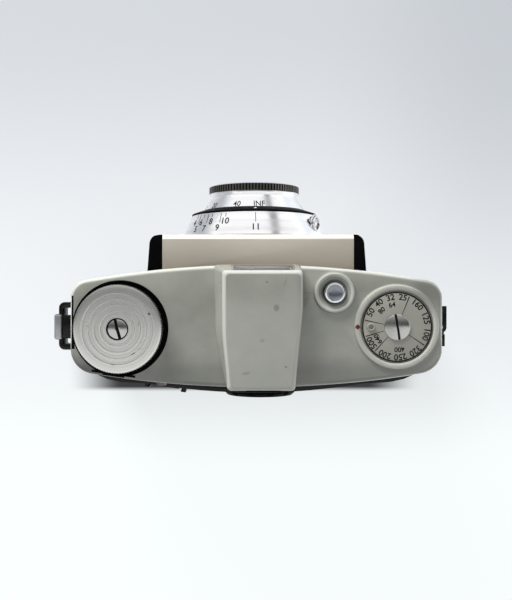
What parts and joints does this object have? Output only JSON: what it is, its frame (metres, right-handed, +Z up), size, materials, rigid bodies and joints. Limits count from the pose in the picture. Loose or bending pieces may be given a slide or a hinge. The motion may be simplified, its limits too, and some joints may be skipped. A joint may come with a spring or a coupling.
{
  "type": "miniature viewfinder camera",
  "caption": "Small roll-film camera with a grey top cover, winding knob, film-type dial, release button, cream lens block and focusing lens.",
  "frame": {"origin": "mouth of the tripod socket, in the middle of the base", "axes": "+Z up, -Y ahead along the lens axis, -X towards the viewer's right hand, where the release button is"},
  "size_m": [0.1306, 0.0737, 0.0745],
  "materials": {
    "black_moulding": "fine satin black moulding",
    "grey_moulding": "light warm grey satin moulding",
    "cream_plate": "cream enamel",
    "black_enamel": "black enamel",
    "steel": "bright steel",
    "dark_steel": "blackened steel",
    "turned_aluminium": "turned, fine rings",
    "chrome": "bright plating",
    "brass": "dull brass",
    "glass": "coated glass",
    "clear_plastic": "clear moulding",
    "red_plastic": "red transparent",
    "insulator": "pale insulator",
    "dial_enamel": "satin grey dial"
  },
  "bodies": {
    "camera": {"body_shell": "black_moulding", "top_cover": "grey_moulding", "body_screws": "steel", "tripod_bush": "brass", "film_gate": "dark_steel", "lens_block": "black_moulding", "front_plate": "cream_plate", "shutter_base": "dark_steel", "shutter_cover": "dark_steel", "shutter_housing": "turned_aluminium", "lens_barrel": "dark_steel", "middle_lens": "glass", "rear_lens": "glass", "rear_retainer": "black_enamel", "flash_socket": "chrome", "flash_insulator": "insulator", "flash_contact": "brass", "finder_frame": "chrome", "finder_window": "clear_plastic", "eyepiece_frame": "black_moulding", "eyepiece_lens": "clear_plastic", "knob_bush": "brass", "clutch_spring": "steel", "spool_pivots": "steel", "body_hinge": "black_enamel", "hinge_pins": "steel", "latch_lugs": "black_enamel", "dial_screw": "chrome", "lever_pin": "steel", "release_spring": "steel"},
    "winder": {"wind_knob": "turned_aluminium", "knob_screw": "chrome", "wind_shaft": "steel", "takeup_spool": "black_enamel"},
    "release": {"release_button": "chrome", "release_clip": "steel"},
    "trip_lever": {"release_lever": "steel"},
    "shutter": {"shutter_blade": "dark_steel"},
    "exposure": {"exposure_ring": "black_enamel"},
    "iris_left": {"aperture_blade_left": "dark_steel"},
    "iris_right": {"aperture_blade_right": "dark_steel"},
    "focus": {"focus_ring": "turned_aluminium"},
    "cell": {"front_cell": "black_enamel", "front_lens": "glass", "front_retainer": "turned_aluminium"},
    "film_reminder": {"film_dial": "dial_enamel"},
    "door": {"back_door": "black_moulding", "door_hinge": "black_enamel", "scale_plate": "turned_aluminium", "dial_rivet": "chrome", "red_window": "red_plastic", "window_track": "steel"},
    "film_pressure": {"pressure_plate": "dark_steel", "pressure_springs": "steel"},
    "calculator": {"exposure_dial": "black_moulding"},
    "window_slide": {"window_cover": "black_enamel"},
    "latch": {"latch_strap": "black_enamel", "latch_tab": "dark_steel"},
    "film_stop": {"film_release": "chrome"}
  },
  "joints": [
    {"name": "wind", "type": "hinge", "parent": "camera", "child": "winder", "pos_m": [0.0431, 0, 0.07], "axis": [0, 0, -1], "continuous": true},
    {"name": "release_press", "type": "slide", "parent": "camera", "child": "release", "axis": [0, 0, -1], "range_m": [0, 0.0025], "stiffness_N_per_m": 350, "springref_m": -0.001, "deforming": ["release_spring"]},
    {"name": "release_rock", "type": "hinge", "parent": "camera", "child": "trip_lever", "pos_m": [-0.0246, -0.021, 0.0455], "axis": [-1, 0, 0], "range_deg": [0, 15]},
    {"name": "shutter_swing", "type": "hinge", "parent": "camera", "child": "shutter", "pos_m": [-0.012, -0.0324, 0.025], "axis": [0, -1, 0], "range_deg": [0, 47]},
    {"name": "exposure_set", "type": "hinge", "parent": "camera", "child": "exposure", "pos_m": [0, -0.0393, 0.033], "axis": [0, 1, 0], "range_deg": [0, 76]},
    {"name": "iris_left_swing", "type": "hinge", "parent": "camera", "child": "iris_left", "pos_m": [0, -0.031, 0.0465], "axis": [0, -1, 0], "range_deg": [0, 12.1]},
    {"name": "iris_right_swing", "type": "hinge", "parent": "camera", "child": "iris_right", "pos_m": [0, -0.0316, 0.0465], "axis": [0, 1, 0], "range_deg": [0, 12.1]},
    {"name": "focus_turn", "type": "hinge", "parent": "camera", "child": "focus", "pos_m": [0, -0.045, 0.033], "axis": [0, -1, 0], "range_deg": [0, 280]},
    {"name": "cell_extend", "type": "slide", "parent": "camera", "child": "cell", "axis": [0, -1, 0], "range_m": [0, 0.00101]},
    {"name": "film_dial_turn", "type": "hinge", "parent": "camera", "child": "film_reminder", "pos_m": [-0.0443, -0.0005, 0.0665], "axis": [0, 0, 1], "continuous": true},
    {"name": "door_open", "type": "hinge", "parent": "camera", "child": "door", "pos_m": [-0.0612, 0, 0.03], "axis": [0, 0, 1], "range_deg": [0, 90]},
    {"name": "plate_give", "type": "slide", "parent": "door", "child": "film_pressure", "axis": [0, 1, 0], "range_m": [0, 0.0007], "stiffness_N_per_m": 600, "springref_m": -0.0005},
    {"name": "calculator_turn", "type": "hinge", "parent": "door", "child": "calculator", "pos_m": [-0.002, 0.023, 0.033], "axis": [0, 1, 0], "continuous": true},
    {"name": "window_slide_up", "type": "slide", "parent": "door", "child": "window_slide", "axis": [0, 0, 1], "range_m": [0, 0.009]},
    {"name": "latch_swing", "type": "hinge", "parent": "camera", "child": "latch", "pos_m": [0.0602, -0.0072, 0.0445], "axis": [0, 0, -1], "range_deg": [0, 40]},
    {"name": "film_stop_press", "type": "slide", "parent": "camera", "child": "film_stop", "axis": [0, -1, 0], "range_m": [0, 0.001], "stiffness_N_per_m": 400, "springref_m": -0.0008}
  ],
  "couplings": [
    {"joint": "release_rock", "follows": "release_press", "rad_per_m": 101.9},
    {"joint": "iris_left_swing", "follows": "exposure_set", "ratio": 0.15789},
    {"joint": "iris_right_swing", "follows": "exposure_set", "ratio": 0.15789},
    {"joint": "cell_extend", "follows": "focus_turn", "m_per_rad": 0.00020463}
  ]
}
